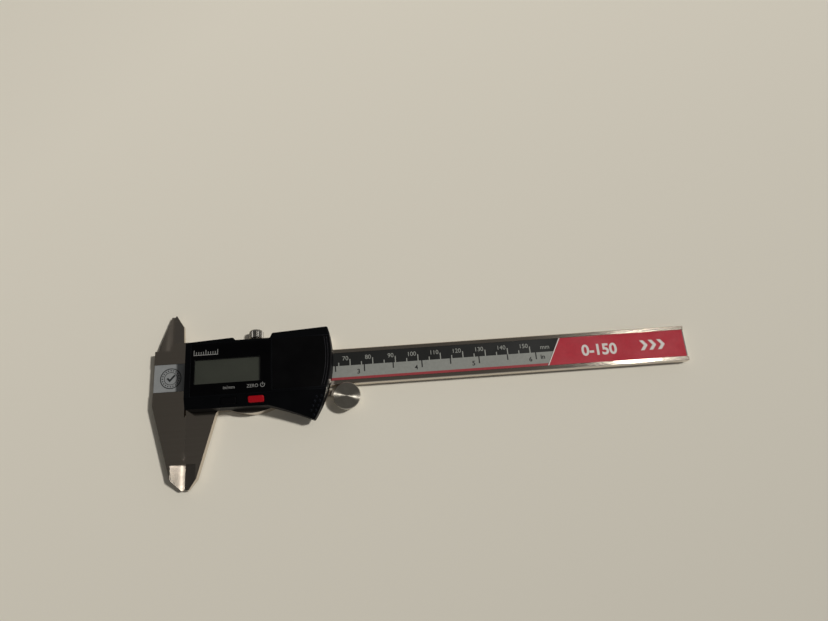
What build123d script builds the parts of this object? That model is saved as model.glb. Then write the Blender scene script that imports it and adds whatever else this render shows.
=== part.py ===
from build123d import *
import math
import os

# A 150 mm digital caliper, shut, lying on its back with the display up.
#
# The row frame has +X along the beam towards its free end, +Y towards the inside jaws and +Z out of the
# display. Its origin is the middle of the whole caliper, on the surface it lies on.
#
# Every piece is drawn from the caliper's own datum instead: x from the zero of the printed scale, y from
# the beam's centreline and z from the beam's front face. level(), edgewise() and across() turn that into
# the row frame.

# ---------------------------------------------------------------- driving dimensions, in millimetres
BEAM_WIDTH = 16.0
BEAM_THICKNESS = 3.6
BEAM_REACH = 220.5  # scale's zero to the beam's free end
FIXED_JAW_WIDTH = 15.5
OUTSIDE_JAW_DEPTH = 40.0  # below the beam's lower edge
INSIDE_JAW_HEIGHT = 21.0  # above the beam's upper edge
SLIDER_LENGTH = 61.4
SLIDER_BACK = 5.0  # beam's front face down to the surface the caliper lies on
MODULE_HEIGHT = 8.8  # beam's front face up to the display
WALL = 1.2  # plastic wall
RUNNING_GAP = 0.03  # between steel parts that slide or turn on each other
JAW_PLANE = -0.9  # the shut outside jaws meet a little left of the scale's zero
JAW_LIGHT_GAP = 0.02  # between the shut measuring faces

HALF_BEAM = BEAM_WIDTH / 2
BEAM_BACK = -BEAM_THICKNESS
MID_BEAM = BEAM_BACK / 2
JAW_TIP = -(HALF_BEAM + OUTSIDE_JAW_DEPTH)
BLADE_TIP = HALF_BEAM + INSIDE_JAW_HEIGHT
MOVING_FACE = JAW_PLANE + JAW_LIGHT_GAP

JAW_X = -(BEAM_REACH - FIXED_JAW_WIDTH) / 2
BEAM_Y = (OUTSIDE_JAW_DEPTH - INSIDE_JAW_HEIGHT) / 2
FACE_Z = SLIDER_BACK

# ---------------------------------------------------------------- beam, scale and labels
GROOVE_WIDTH = 12.4  # front groove that holds the scale board
GROOVE_DEPTH = 0.8
BOARD_WIDTH = 12.2
BOARD_TOP = -0.2
OVERLAY_TOP = -0.02
ROD_GROOVE_WIDTH = 4.0  # back groove that the depth rod runs in
ROD_GROOVE_TOP = -1.7
EDGE_BREAK = 0.25
JAW_LABEL_END = -2.1
SCALE_START = -1.9
SCALE_END = 157.0  # the scale strip's lower corner; its joint with the end label leans
JOINT_LEAN = 6.4
JOINT_GAP = 0.15

# ---------------------------------------------------------------- jaws
SHOULDER_TOP = 12.4
BLOCK_TOP = 15.7
BLADE_X = -7.8  # both inside measuring edges stand here when shut
LAYER_SPLIT = -1.8  # the fixed blade is in front of this height, the moving one behind it
LAYER_GAP = 0.1
RELIEF_WIDTH = 0.85  # undercut at the root of the fixed measuring face
RELIEF_FOOT = -17.9
OUTSIDE_BEVEL_TOP = -37.5
OUTSIDE_BEVEL_ROOTS = (-6.7, 3.9)  # where the two jaws' bevels start
OUTSIDE_BEVEL_FRONT = 2.2
OUTSIDE_BEVEL_REAR = 0.7
INSIDE_BEVEL = 1.3

# ---------------------------------------------------------------- slider
SLIDER_TOP = 15.3
SLIDER_FLOOR = -15.6
SLIDER_FACE = 0.3  # the front of the channel's two walls
CHANNEL_BACK = BEAM_BACK - 0.1
GIB_THICKNESS = 0.8
GIB_GAP = 0.04
CHANNEL_TOP = HALF_BEAM + GIB_GAP + GIB_THICKNESS + GIB_GAP
CHANNEL_FLOOR = -(HALF_BEAM + RUNNING_GAP)
SLIDER_CORNER = ((62.5, -8.0), (60.8, -8.0), (59.5, -11.9), (58.3, -12.6), (56.4, -16.0), (62.5, -16.0))
THUMB_REST = ((16.5, SLIDER_FLOOR + 0.3), (27.0, -17.9), (37.5, SLIDER_FLOOR + 0.3))
LOCK_X = 28.5
GIB_SCREW_X = (12.0, 48.0)
HOUSING_SCREWS = ((4.4, 11.1), (57.2, 11.4), (4.4, -12.6), (54.8, -12.6))

# ---------------------------------------------------------------- thumb roller
ROLLER_RADIUS = 5.35  # the part that rolls on the beam's lower edge
ROLLER_X = 68.0
ROLLER_Y = -(HALF_BEAM + ROLLER_RADIUS + 0.02)
FLANGE_RADIUS = 6.0  # the roller's front flange, which laps over the beam's face
FLANGE_BACK = 0.1
ROLLER_FRONT = 0.8
ROLLER_BACK = -3.5
AXLE_RADIUS = 1.2
BRACKET_TOP = -3.9
BRACKET_BACK = -4.9
BRACKET_LOW = -15.2
BRACKET_HIGH = -9.6
BRACKET_ARM_LOW = -12.0
BRACKET_DISC = 3.6
BRACKET_SCREW_X = (43.0, 49.0)
BRACKET_SCREW_Y = -12.2

# ---------------------------------------------------------------- depth rod
ROD_WIDTH = 3.6
ROD_TOP = ROD_GROOVE_TOP - 0.1
ROD_BOTTOM = -3.2
ROD_START = 47.0
ROD_SCREW_X = (50.0, 56.0)
STOP_START = 214.2
STOP_SCREW_X = 217.0
STOP_SCREW_Y = 4.2

# ---------------------------------------------------------------- electronics module
MODULE_LEFT = 0.4
MODULE_LOWER_LEFT = -15.9
MODULE_UPPER_LEFT = 12.8
MODULE_UPPER_RIGHT = 16.2
RECESS = (20.6, 37.4)  # x from and to of the finger recess around the lock knob
RECESS_FLOOR = 12.75
RECESS_SLOPE = 1.0
END_ARC_CENTRE = (13.0, 4.4)  # the module's right side is one shallow arc
END_ARC_RADIUS = 49.75
GRIP_ROOT = (35.3, -16.3)
GRIP_MIDDLE = (44.3, -19.3)
GRIP_TIP_Y = -23.4
GRIP_DOT_RADIUS = 0.55
GRIP_DOT_INSETS = (1.3, 3.2)  # from the end arc to each row of dots
GRIP_DOT_COUNT = 5
GRIP_DOT_FIRST = -22.4  # degrees around the end arc's centre
GRIP_DOT_STEP = 2.45
STRIP_TOP_Y = -11.3  # the button strip falls away from here
STRIP_TOP_Z = 8.4
STRIP_SLOPE = math.degrees(math.atan(0.42))
ROOF_UNDERSIDE = 6.6
BEZEL = (3.0, 36.8, -11.0, 11.8)  # x from, x to, y from, y to
BEZEL_BACK = 7.8
WINDOW = (4.65, 32.4, -5.95, 4.7)
LCD = (2.8, 33.4, -7.2, 6.4)
LCD_BACK = 6.3
DOOR_LEFT = 37.1
DOOR_LOW = -10.4
DOOR_HIGH = 12.3
DOOR_TONGUE = 0.7
DOOR_GAP = 0.1
DOOR_BACK = 7.35
DOOR_EDGE_RADIUS = 0.4
DOOR_GROOVE_INSETS = (1.0, 2.0)  # from the end arc to each thumb groove
DOOR_GROOVE_WIDTH = 0.45
DOOR_GROOVE_DEPTH = 0.3
TONGUE_TOP = 7.95
BATTERY_X = 47.5
BATTERY_Y = -0.9
BATTERY_RADIUS = 5.8
BATTERY_BACK = 1.7
BATTERY_TOP = 7.1
BATTERY_WELL_RADIUS = BATTERY_RADIUS + 0.3
CIRCUIT_TOP = SLIDER_FACE + 1.0
BUTTON_X = {"unit_button": 18.9, "zero_button": 30.4}
BUTTON_Y = -13.6
BUTTON_WIDTH = 6.7
BUTTON_DEPTH = 2.7
BUTTON_GAP = 0.12
BUTTON_PROUD = 0.5
BUTTON_FLANGE_BACK = 4.4
BUTTON_FLANGE_TOP = ROOF_UNDERSIDE - 0.2
BUTTON_FOOT = 2.4
DOME_Y = -13.3


def level(z):
    """The plane parallel to the beam's face, at height z from it."""
    return Plane((JAW_X, BEAM_Y, FACE_Z + z))


def edgewise(x, y, z):
    """A plane through a point that looks along +Y, with its x along the beam and its y pointing back."""
    return Plane((JAW_X + x, BEAM_Y + y, FACE_Z + z), x_dir=(1, 0, 0), z_dir=(0, 1, 0))


def across(x):
    """A plane across the beam that looks along +X; its x is the caliper's y and its y is the caliper's z."""
    return Plane((JAW_X + x, BEAM_Y, FACE_Z), x_dir=(0, 1, 0), z_dir=(1, 0, 0))


def strip_plane(height):
    """The sloping plane of the button strip, moved out along its own normal by height."""
    top_edge = Plane(
        (JAW_X, BEAM_Y + STRIP_TOP_Y, FACE_Z + STRIP_TOP_Z),
        x_dir=(1, 0, 0),
        z_dir=(0, -math.sin(math.radians(STRIP_SLOPE)), math.cos(math.radians(STRIP_SLOPE))),
    )
    return top_edge.offset(height)


def slab(x_from, x_to, y_from, y_to, z_from, z_to, mode=Mode.ADD):
    """A rectangular block between six limits."""
    with BuildSketch(level(z_from)) as outline:
        with Locations(((x_from + x_to) / 2, (y_from + y_to) / 2)):
            Rectangle(x_to - x_from, y_to - y_from)
    extrude(outline.sketch, amount=z_to - z_from, mode=mode)


def discs(places, radius, z_from, z_to, mode=Mode.ADD):
    """Upright cylinders of one radius, one at each (x, y)."""
    with BuildSketch(level(z_from)) as outline:
        with Locations(*places):
            Circle(radius)
    extrude(outline.sketch, amount=z_to - z_from, mode=mode)


def plate(points, z_from, z_to, mode=Mode.ADD):
    """A flat plate with a straight-sided outline."""
    with BuildSketch(level(z_from)) as outline:
        with BuildLine():
            Polyline(*points, close=True)
        make_face()
    extrude(outline.sketch, amount=z_to - z_from, mode=mode)


def knife_bevel(root_x, edge_x, y_from, y_to, face_z, depth):
    """Cuts a wedge off a blade's face, so that it thins from root_x to nothing more than depth at edge_x.

    A positive depth cuts down into a front face and a negative one cuts up into a back face."""
    past_edge = edge_x + math.copysign(0.5, edge_x - root_x)
    past_depth = depth * (past_edge - root_x) / (edge_x - root_x)
    with BuildSketch(edgewise(0, y_from, face_z)) as wedge:
        with BuildLine():
            Polyline((root_x, 0), (past_edge, 0), (past_edge, past_depth), close=True)
        make_face()
    extrude(wedge.sketch, amount=y_to - y_from, mode=Mode.SUBTRACT)


def end_arc_point(y):
    """The point of the module's arched right side at height y."""
    centre_x, centre_y = END_ARC_CENTRE
    return (centre_x + math.sqrt(END_ARC_RADIUS**2 - (y - centre_y) ** 2), y)


def top_edge_point(x):
    """The point of the module's slanted top edge at x."""
    right_x, right_y = end_arc_point(MODULE_UPPER_RIGHT)
    share = (x - MODULE_LEFT) / (right_x - MODULE_LEFT)
    return (x, MODULE_UPPER_LEFT + share * (right_y - MODULE_UPPER_LEFT))


def draw_module_outline():
    """The electronics module seen from the front.

    Its top slants and has a recess around the lock knob, its right side is an arch and its grip is dished."""
    recess_left, recess_right = RECESS
    top_right = end_arc_point(MODULE_UPPER_RIGHT)
    grip_tip = end_arc_point(GRIP_TIP_Y)
    with BuildLine() as outline:
        Polyline(
            (MODULE_LEFT, MODULE_LOWER_LEFT),
            (MODULE_LEFT, MODULE_UPPER_LEFT),
            top_edge_point(recess_left),
            (recess_left + RECESS_SLOPE, RECESS_FLOOR),
            (recess_right - RECESS_SLOPE, RECESS_FLOOR),
            top_edge_point(recess_right),
            top_right,
        )
        ThreePointArc(top_right, end_arc_point(0), grip_tip)
        ThreePointArc(grip_tip, GRIP_MIDDLE, GRIP_ROOT)
        Line(GRIP_ROOT, (MODULE_LEFT, MODULE_LOWER_LEFT))
    make_face(outline.line)


def button_flange(x):
    """The wider block behind a key, cut to the slope of the strip's underside."""
    with BuildPart() as flange:
        slab(x - 4.2, x + 4.2, BUTTON_Y - 1.0, BUTTON_Y + 2.3, BUTTON_FLANGE_BACK, BUTTON_FLANGE_TOP)
        split(bisect_by=strip_plane(-WALL - 0.1), keep=Keep.BOTTOM)
    return flange


def grip_dots():
    """Centres of the grip's dots, in the strip plane's own x and y, in staggered rows along the edge."""
    centres = []
    for row, inset in enumerate(GRIP_DOT_INSETS):
        radius = END_ARC_RADIUS - inset
        for step in range(GRIP_DOT_COUNT - row):
            angle = math.radians(GRIP_DOT_FIRST - GRIP_DOT_STEP * (step + row / 2))
            x = END_ARC_CENTRE[0] + radius * math.cos(angle)
            y = END_ARC_CENTRE[1] + radius * math.sin(angle)
            centres.append((x, (y - STRIP_TOP_Y) / math.cos(math.radians(STRIP_SLOPE))))
    return centres


def screw(x, y, head_radius, head_from, head_to, shank_radius, shank_to):
    """An upright screw put in from the back: a cross-slotted head and a plain shank."""
    discs([(x, y)], head_radius, head_from, head_to)
    discs([(x, y)], shank_radius, head_to, shank_to)
    for width, depth in ((head_radius * 1.1, 0.3), (0.3, head_radius * 1.1)):
        slab(x - width / 2, x + width / 2, y - depth / 2, y + depth / 2, head_from, head_from + 0.3, Mode.SUBTRACT)


# ================================================================ the beam and what is fixed to it
with BuildPart() as beam:
    plate(
        [
            (BEAM_REACH, -HALF_BEAM),
            (BEAM_REACH, HALF_BEAM),
            (JAW_PLANE, HALF_BEAM),
            (JAW_PLANE, BLOCK_TOP),
            (-2.8, BLOCK_TOP),
            (-3.2, 23.0),
            (-7.0, BLADE_TIP),
            (BLADE_X, BLADE_TIP - 0.7),
            (BLADE_X, SHOULDER_TOP),
            (-FIXED_JAW_WIDTH, SHOULDER_TOP),
            (-FIXED_JAW_WIDTH, -12.2),
            (-6.6, -43.8),
            (-2.2, JAW_TIP),
            (JAW_PLANE - 0.6, JAW_TIP),
            (JAW_PLANE, JAW_TIP + 0.8),
            (JAW_PLANE, -HALF_BEAM),
        ],
        BEAM_BACK,
        0,
    )
    long_edges = beam.edges().filter_by(Axis.X).filter_by(lambda edge: edge.length > 200)
    chamfer(long_edges, EDGE_BREAK)
    # The undercut at the root of the fixed measuring face.
    plate(
        [
            (JAW_PLANE + 0.5, -HALF_BEAM),
            (JAW_PLANE - RELIEF_WIDTH, -HALF_BEAM),
            (JAW_PLANE - RELIEF_WIDTH, RELIEF_FOOT),
            (JAW_PLANE, RELIEF_FOOT + 1.2),
            (JAW_PLANE + 0.5, RELIEF_FOOT + 1.2),
        ],
        BEAM_BACK,
        0,
        Mode.SUBTRACT,
    )
    # The groove for the scale board, along the whole front.
    slab(
        -FIXED_JAW_WIDTH, BEAM_REACH, -GROOVE_WIDTH / 2, GROOVE_WIDTH / 2, -GROOVE_DEPTH, 0, Mode.SUBTRACT
    )
    # The groove for the depth rod, open at the free end.
    slab(
        1.0, BEAM_REACH, -ROD_GROOVE_WIDTH / 2, ROD_GROOVE_WIDTH / 2, BEAM_BACK, ROD_GROOVE_TOP, Mode.SUBTRACT
    )
    # The moving blade's arm passes behind everything that stands above the beam's edge.
    slab(
        -FIXED_JAW_WIDTH, 0, HALF_BEAM + 0.05, BLADE_TIP, BEAM_BACK, LAYER_SPLIT, Mode.SUBTRACT
    )
    bevel_root = OUTSIDE_BEVEL_ROOTS[0]
    knife_bevel(bevel_root, JAW_PLANE, JAW_TIP, OUTSIDE_BEVEL_TOP, 0, OUTSIDE_BEVEL_FRONT)
    knife_bevel(bevel_root, JAW_PLANE, JAW_TIP, OUTSIDE_BEVEL_TOP, BEAM_BACK, -OUTSIDE_BEVEL_REAR)
    knife_bevel(-3.6, BLADE_X, BLOCK_TOP, BLADE_TIP, 0, INSIDE_BEVEL)
    # Tapped holes for the end stop.
    discs([(STOP_SCREW_X, STOP_SCREW_Y), (STOP_SCREW_X, -STOP_SCREW_Y)], 0.8, BEAM_BACK, -1.6, Mode.SUBTRACT)

with BuildPart() as scale_board:
    slab(
        -FIXED_JAW_WIDTH + 0.3, BEAM_REACH - 0.3, -BOARD_WIDTH / 2, BOARD_WIDTH / 2, -GROOVE_DEPTH, BOARD_TOP
    )

with BuildPart() as scale_strip:
    half = BOARD_WIDTH / 2
    plate(
        [(SCALE_START, -half), (SCALE_END, -half), (SCALE_END + JOINT_LEAN, half), (SCALE_START, half)],
        BOARD_TOP,
        OVERLAY_TOP,
    )

with BuildPart() as end_label:
    joint = SCALE_END + JOINT_GAP
    label_end = BEAM_REACH - 0.8
    plate(
        [(joint, -half), (label_end, -half), (label_end, half), (joint + JOINT_LEAN, half)],
        BOARD_TOP,
        OVERLAY_TOP,
    )

with BuildPart() as jaw_label:
    slab(-FIXED_JAW_WIDTH + 0.2, JAW_LABEL_END, -half, half, BOARD_TOP, OVERLAY_TOP)

with BuildPart() as end_stop:
    slab(STOP_START, BEAM_REACH - 0.8, -6.2, 6.2, -4.3, BEAM_BACK)
    fillet(end_stop.edges().filter_by(Axis.Z), 0.8)
    discs([(STOP_SCREW_X, STOP_SCREW_Y), (STOP_SCREW_X, -STOP_SCREW_Y)], 0.85, -4.3, BEAM_BACK, Mode.SUBTRACT)

with BuildPart() as end_stop_screws:
    for side in (1, -1):
        screw(STOP_SCREW_X, side * STOP_SCREW_Y, 1.3, -SLIDER_BACK, -4.3, 0.75, -1.9)

# ================================================================ the slider and its steel parts
with BuildPart() as slider:
    # The channel that rides on the beam.
    slab(MOVING_FACE, SLIDER_LENGTH, SLIDER_FLOOR, SLIDER_TOP, -SLIDER_BACK, SLIDER_FACE)
    fillet(slider.edges().filter_by(Axis.Z).sort_by(Axis.X)[-2:], 1.0)
    # The thumb rest, a shallow round lobe under the channel.
    with BuildSketch(level(-SLIDER_BACK)):
        with BuildLine():
            ThreePointArc(*THUMB_REST)
            Line(THUMB_REST[2], THUMB_REST[0])
        make_face()
    extrude(amount=SLIDER_BACK + SLIDER_FACE)
    # The outside jaw, as thick as the beam.
    plate(
        [
            (MOVING_FACE, SLIDER_FLOOR + 1),
            (MOVING_FACE, JAW_TIP + 0.8),
            (MOVING_FACE + 0.6, JAW_TIP),
            (1.0, JAW_TIP),
            (4.3, -43.8),
            (11.7, -17.2),
            (13.6, SLIDER_FLOOR + 1),
        ],
        BEAM_BACK,
        0,
    )
    slab(
        MOVING_FACE, SLIDER_LENGTH, CHANNEL_FLOOR, CHANNEL_TOP, CHANNEL_BACK, SLIDER_FACE, Mode.SUBTRACT
    )
    # The inside blade stands on an arm that passes behind the fixed jaw.
    plate(
        [
            (0.5, HALF_BEAM + 0.3),
            (0.5, BLOCK_TOP - 0.9),
            (BLADE_X, BLOCK_TOP - 0.9),
            (BLADE_X, BLADE_TIP - 0.7),
            (BLADE_X - 0.7, BLADE_TIP),
            (BLADE_X - 1.8, BLADE_TIP),
            (-14.9, SHOULDER_TOP),
            (-15.3, 10.5),
            (-15.3, HALF_BEAM + 0.3),
        ],
        BEAM_BACK,
        LAYER_SPLIT - LAYER_GAP,
    )
    bevel_root = OUTSIDE_BEVEL_ROOTS[1]
    knife_bevel(bevel_root, MOVING_FACE, JAW_TIP, OUTSIDE_BEVEL_TOP, 0, OUTSIDE_BEVEL_FRONT)
    knife_bevel(bevel_root, MOVING_FACE, JAW_TIP, OUTSIDE_BEVEL_TOP, BEAM_BACK, -OUTSIDE_BEVEL_REAR)
    knife_bevel(-13.4, BLADE_X, SHOULDER_TOP, BLADE_TIP, LAYER_SPLIT - LAYER_GAP, INSIDE_BEVEL)
    # Holes through the upper wall for the lock screw and the two gib screws.
    wall_height = SLIDER_TOP - CHANNEL_TOP
    with BuildSketch(edgewise(0, CHANNEL_TOP, MID_BEAM)):
        with Locations((LOCK_X, 0)):
            Circle(1.5)
        with Locations(*[(x, 0) for x in GIB_SCREW_X]):
            Circle(1.0)
    extrude(amount=wall_height, mode=Mode.SUBTRACT)
    # Counterbored holes for the module's screws, the bracket's screws and the rod's screws.
    discs(HOUSING_SCREWS, 1.15, -SLIDER_BACK, SLIDER_FACE, Mode.SUBTRACT)
    discs(HOUSING_SCREWS, 2.0, -SLIDER_BACK, -3.5, Mode.SUBTRACT)
    discs([(x, 0) for x in ROD_SCREW_X], 0.85, -SLIDER_BACK, CHANNEL_BACK, Mode.SUBTRACT)
    discs([(x, 0) for x in ROD_SCREW_X], 1.5, -SLIDER_BACK, -4.3, Mode.SUBTRACT)
    discs([(x, BRACKET_SCREW_Y) for x in BRACKET_SCREW_X], 0.8, -SLIDER_BACK, -1.4, Mode.SUBTRACT)
    # A pocket for the roller bracket.
    slab(39.5, SLIDER_LENGTH, SLIDER_FLOOR, -9.2, -SLIDER_BACK, BRACKET_TOP, Mode.SUBTRACT)
    # The lower right corner is cut back, to stay behind the grip and clear of the roller.
    plate(SLIDER_CORNER, -SLIDER_BACK, SLIDER_FACE, Mode.SUBTRACT)

with BuildPart() as gib:
    slab(3.0, 59.0, HALF_BEAM + GIB_GAP, HALF_BEAM + GIB_GAP + GIB_THICKNESS, -3.4, -0.2)

with BuildPart() as gib_screws:
    for x in GIB_SCREW_X:
        with BuildSketch(edgewise(x, CHANNEL_TOP - GIB_GAP, MID_BEAM)):
            Circle(0.97)
        extrude(amount=4.6)
        with BuildSketch(edgewise(x, CHANNEL_TOP - GIB_GAP + 3.8, MID_BEAM)):
            Rectangle(0.35, 2.2)
        extrude(amount=1.0, mode=Mode.SUBTRACT)

KNOB_BOTTOM = SLIDER_TOP + 0.4
KNOB_TOP = 19.8
with BuildPart() as lock_screw:
    with BuildSketch(edgewise(LOCK_X, KNOB_BOTTOM, MID_BEAM)):
        Circle(3.1)
    extrude(amount=KNOB_TOP - KNOB_BOTTOM)
    fillet(lock_screw.edges().group_by(Axis.Y)[-1], 1.3)
    chamfer(lock_screw.edges().group_by(Axis.Y)[0], 0.3)
    # Straight knurling.
    with BuildSketch(edgewise(LOCK_X, KNOB_BOTTOM, MID_BEAM)):
        with PolarLocations(3.15, 32):
            Rectangle(0.28, 0.28, rotation=45)
    extrude(amount=KNOB_TOP - KNOB_BOTTOM, mode=Mode.SUBTRACT)
    with BuildSketch(edgewise(LOCK_X, CHANNEL_TOP + 0.9, MID_BEAM)):
        Circle(1.45)
    extrude(amount=KNOB_BOTTOM - CHANNEL_TOP - 0.9)

with BuildPart() as lock_pad:
    with BuildSketch(edgewise(LOCK_X, CHANNEL_TOP - GIB_GAP, MID_BEAM)):
        Circle(1.4)
    extrude(amount=0.85)

with BuildPart() as depth_rod:
    slab(ROD_START, BEAM_REACH, -ROD_WIDTH / 2, ROD_WIDTH / 2, ROD_BOTTOM, ROD_TOP)
    # The tip is relieved on one side, to reach past the radius in a corner.
    slab(BEAM_REACH - 6, BEAM_REACH, 0.5, ROD_WIDTH / 2, ROD_BOTTOM, ROD_TOP, Mode.SUBTRACT)
    discs([(x, 0) for x in ROD_SCREW_X], 0.75, ROD_BOTTOM, ROD_TOP, Mode.SUBTRACT)

with BuildPart() as rod_block:
    slab(ROD_START, ROD_START + 12, -1.8, 1.8, CHANNEL_BACK, ROD_BOTTOM)
    discs([(x, 0) for x in ROD_SCREW_X], 0.75, CHANNEL_BACK, ROD_BOTTOM, Mode.SUBTRACT)

with BuildPart() as rod_screws:
    for x in ROD_SCREW_X:
        screw(x, 0, 1.4, -4.95, -4.3, 0.72, -2.0)

# ================================================================ the thumb roller
with BuildPart() as thumb_roller:
    discs([(ROLLER_X, ROLLER_Y)], ROLLER_RADIUS, ROLLER_BACK, FLANGE_BACK)
    discs([(ROLLER_X, ROLLER_Y)], FLANGE_RADIUS, FLANGE_BACK, ROLLER_FRONT)
    chamfer(thumb_roller.edges().group_by(Axis.Z)[-1], 0.25)
    chamfer(thumb_roller.edges().group_by(Axis.Z)[0], 0.35)
    # Straight knurling around both.
    for radius, back, front in (
        (ROLLER_RADIUS, ROLLER_BACK, FLANGE_BACK),
        (FLANGE_RADIUS, FLANGE_BACK, ROLLER_FRONT),
    ):
        with BuildSketch(level(back)):
            with Locations((ROLLER_X, ROLLER_Y)):
                with PolarLocations(radius + 0.05, 60):
                    Rectangle(0.3, 0.3, rotation=45)
        extrude(amount=front - back, mode=Mode.SUBTRACT)
    discs([(ROLLER_X, ROLLER_Y)], AXLE_RADIUS + RUNNING_GAP, ROLLER_BACK, ROLLER_FRONT - 0.7, Mode.SUBTRACT)

with BuildPart() as roller_axle:
    discs([(ROLLER_X, ROLLER_Y)], AXLE_RADIUS, BRACKET_BACK, ROLLER_FRONT - 1.0)

with BuildPart() as roller_bracket:
    plate(
        [
            (40.0, BRACKET_LOW),
            (40.0, BRACKET_HIGH),
            (62.0, BRACKET_HIGH),
            (ROLLER_X, ROLLER_Y + BRACKET_DISC),
            (ROLLER_X, ROLLER_Y - BRACKET_DISC),
            (62.0, BRACKET_ARM_LOW),
            (57.6, BRACKET_ARM_LOW),
            (56.8, BRACKET_LOW),
        ],
        BRACKET_BACK,
        BRACKET_TOP,
    )
    discs([(ROLLER_X, ROLLER_Y)], BRACKET_DISC, BRACKET_BACK, BRACKET_TOP)
    discs([(ROLLER_X, ROLLER_Y)], AXLE_RADIUS, BRACKET_BACK, BRACKET_TOP, Mode.SUBTRACT)
    discs([(x, BRACKET_SCREW_Y) for x in BRACKET_SCREW_X], 0.85, BRACKET_BACK, BRACKET_TOP, Mode.SUBTRACT)
    discs([(x, BRACKET_SCREW_Y) for x in BRACKET_SCREW_X], 1.4, BRACKET_BACK, -4.4, Mode.SUBTRACT)
    discs([HOUSING_SCREWS[3]], 2.1, BRACKET_BACK, BRACKET_TOP, Mode.SUBTRACT)

with BuildPart() as bracket_screws:
    for x in BRACKET_SCREW_X:
        screw(x, BRACKET_SCREW_Y, 1.3, -4.88, -4.4, 0.75, -1.6)

# ================================================================ the electronics module
with BuildPart() as cavity:
    with BuildSketch(level(SLIDER_FACE)):
        draw_module_outline()
        offset(amount=-WALL)
    extrude(amount=ROOF_UNDERSIDE - SLIDER_FACE)
    split(bisect_by=strip_plane(-WALL), keep=Keep.BOTTOM)
    # Posts for the four screws stay solid.
    discs(HOUSING_SCREWS, 2.1, SLIDER_FACE, ROOF_UNDERSIDE, Mode.SUBTRACT)

with BuildPart() as housing:
    with BuildSketch(level(SLIDER_FACE)):
        draw_module_outline()
    extrude(amount=MODULE_HEIGHT - SLIDER_FACE)
    fillet(housing.edges().filter_by(Axis.Z), 0.8)
    fillet(housing.faces().sort_by(Axis.Z)[-1].edges(), 0.5)
    # The button strip and the grip slope down from below the display.
    with BuildSketch(strip_plane(0)):
        with Locations((30, -10)):
            Rectangle(80, 20)
    extrude(amount=10, mode=Mode.SUBTRACT)
    add(cavity.part, mode=Mode.SUBTRACT)
    # Raised dots along the grip's edge, in staggered rows.
    with BuildSketch(strip_plane(-0.1)):
        with Locations(*grip_dots()):
            Circle(GRIP_DOT_RADIUS)
    extrude(amount=0.35, taper=25)
    # The seat of the display panel, and the opening for the display behind it.
    slab(*BEZEL, BEZEL_BACK, MODULE_HEIGHT, Mode.SUBTRACT)
    slab(LCD[0] - 0.3, LCD[1] + 0.3, LCD[2] - 0.3, LCD[3] + 0.3, SLIDER_FACE, BEZEL_BACK, Mode.SUBTRACT)
    # The battery door's slideway, open to the right, with a tongue slot along each side.
    slab(DOOR_LEFT + 0.3, 70, DOOR_LOW, DOOR_HIGH, TONGUE_TOP, MODULE_HEIGHT, Mode.SUBTRACT)
    slab(
        DOOR_LEFT + 0.3, 70, DOOR_LOW - DOOR_TONGUE, DOOR_HIGH + DOOR_TONGUE, DOOR_BACK - DOOR_GAP,
        TONGUE_TOP + DOOR_GAP, Mode.SUBTRACT,
    )
    # The battery well under the door: a round wall, with a window for the side contact.
    well = [(BATTERY_X, BATTERY_Y)]
    discs(well, BATTERY_WELL_RADIUS + 1.0, CIRCUIT_TOP + 0.1, ROOF_UNDERSIDE)
    discs(well, BATTERY_WELL_RADIUS, CIRCUIT_TOP + 0.1, DOOR_BACK, Mode.SUBTRACT)
    slab(
        BATTERY_X - 2.8, BATTERY_X + 2.8, BATTERY_Y - 8.2, BATTERY_Y - 3.0, CIRCUIT_TOP, 6.2, Mode.SUBTRACT
    )
    # Button holes.
    for x in BUTTON_X.values():
        half_x = BUTTON_WIDTH / 2 + BUTTON_GAP
        half_y = BUTTON_DEPTH / 2 + BUTTON_GAP
        slab(x - half_x, x + half_x, BUTTON_Y - half_y, BUTTON_Y + half_y, BUTTON_FOOT, 9.0, Mode.SUBTRACT)
    # Pilot holes in the posts.
    discs(HOUSING_SCREWS, 0.9, SLIDER_FACE, 5.0, Mode.SUBTRACT)

with BuildPart() as display_panel:
    x_from, x_to, y_from, y_to = BEZEL
    slab(x_from + 0.08, x_to - 0.08, y_from + 0.08, y_to - 0.08, BEZEL_BACK, MODULE_HEIGHT + 0.05)
    fillet(display_panel.edges().filter_by(Axis.Z), 0.6)
    slab(*WINDOW, BEZEL_BACK, MODULE_HEIGHT + 0.05, Mode.SUBTRACT)

with BuildPart() as display_window:
    slab(*WINDOW, BEZEL_BACK, MODULE_HEIGHT + 0.02)

with BuildPart() as lcd_glass:
    slab(*LCD, LCD_BACK, BEZEL_BACK - 0.1)

with BuildPart() as lcd_connector:
    slab(8.0, 30.0, -6.9, -5.1, CIRCUIT_TOP, LCD_BACK)

with BuildPart() as circuit_board:
    slab(7.2, 52.4, -14.6, 10.0, SLIDER_FACE, CIRCUIT_TOP)

with BuildPart() as chip_cap:
    discs([(17.0, 1.5)], 3.4, CIRCUIT_TOP, CIRCUIT_TOP + 1.1)
    fillet(chip_cap.edges().group_by(Axis.Z)[-1], 0.9)

with BuildPart() as board_parts:
    with BuildSketch(across(24.0)):
        with Locations((4.6, CIRCUIT_TOP + 1.05)):
            Circle(1.0)
    extrude(amount=6.0)
    for x in (9.0, 23.5, 27.0, 36.0):
        slab(x, x + 1.6, -3.2, -2.4, CIRCUIT_TOP, CIRCUIT_TOP + 0.7)

with BuildPart() as button_domes:
    for x in BUTTON_X.values():
        discs([(x, DOME_Y)], 1.2, CIRCUIT_TOP, CIRCUIT_TOP + 0.4)
    chamfer(button_domes.edges().group_by(Axis.Z)[-1], 0.3)

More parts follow.
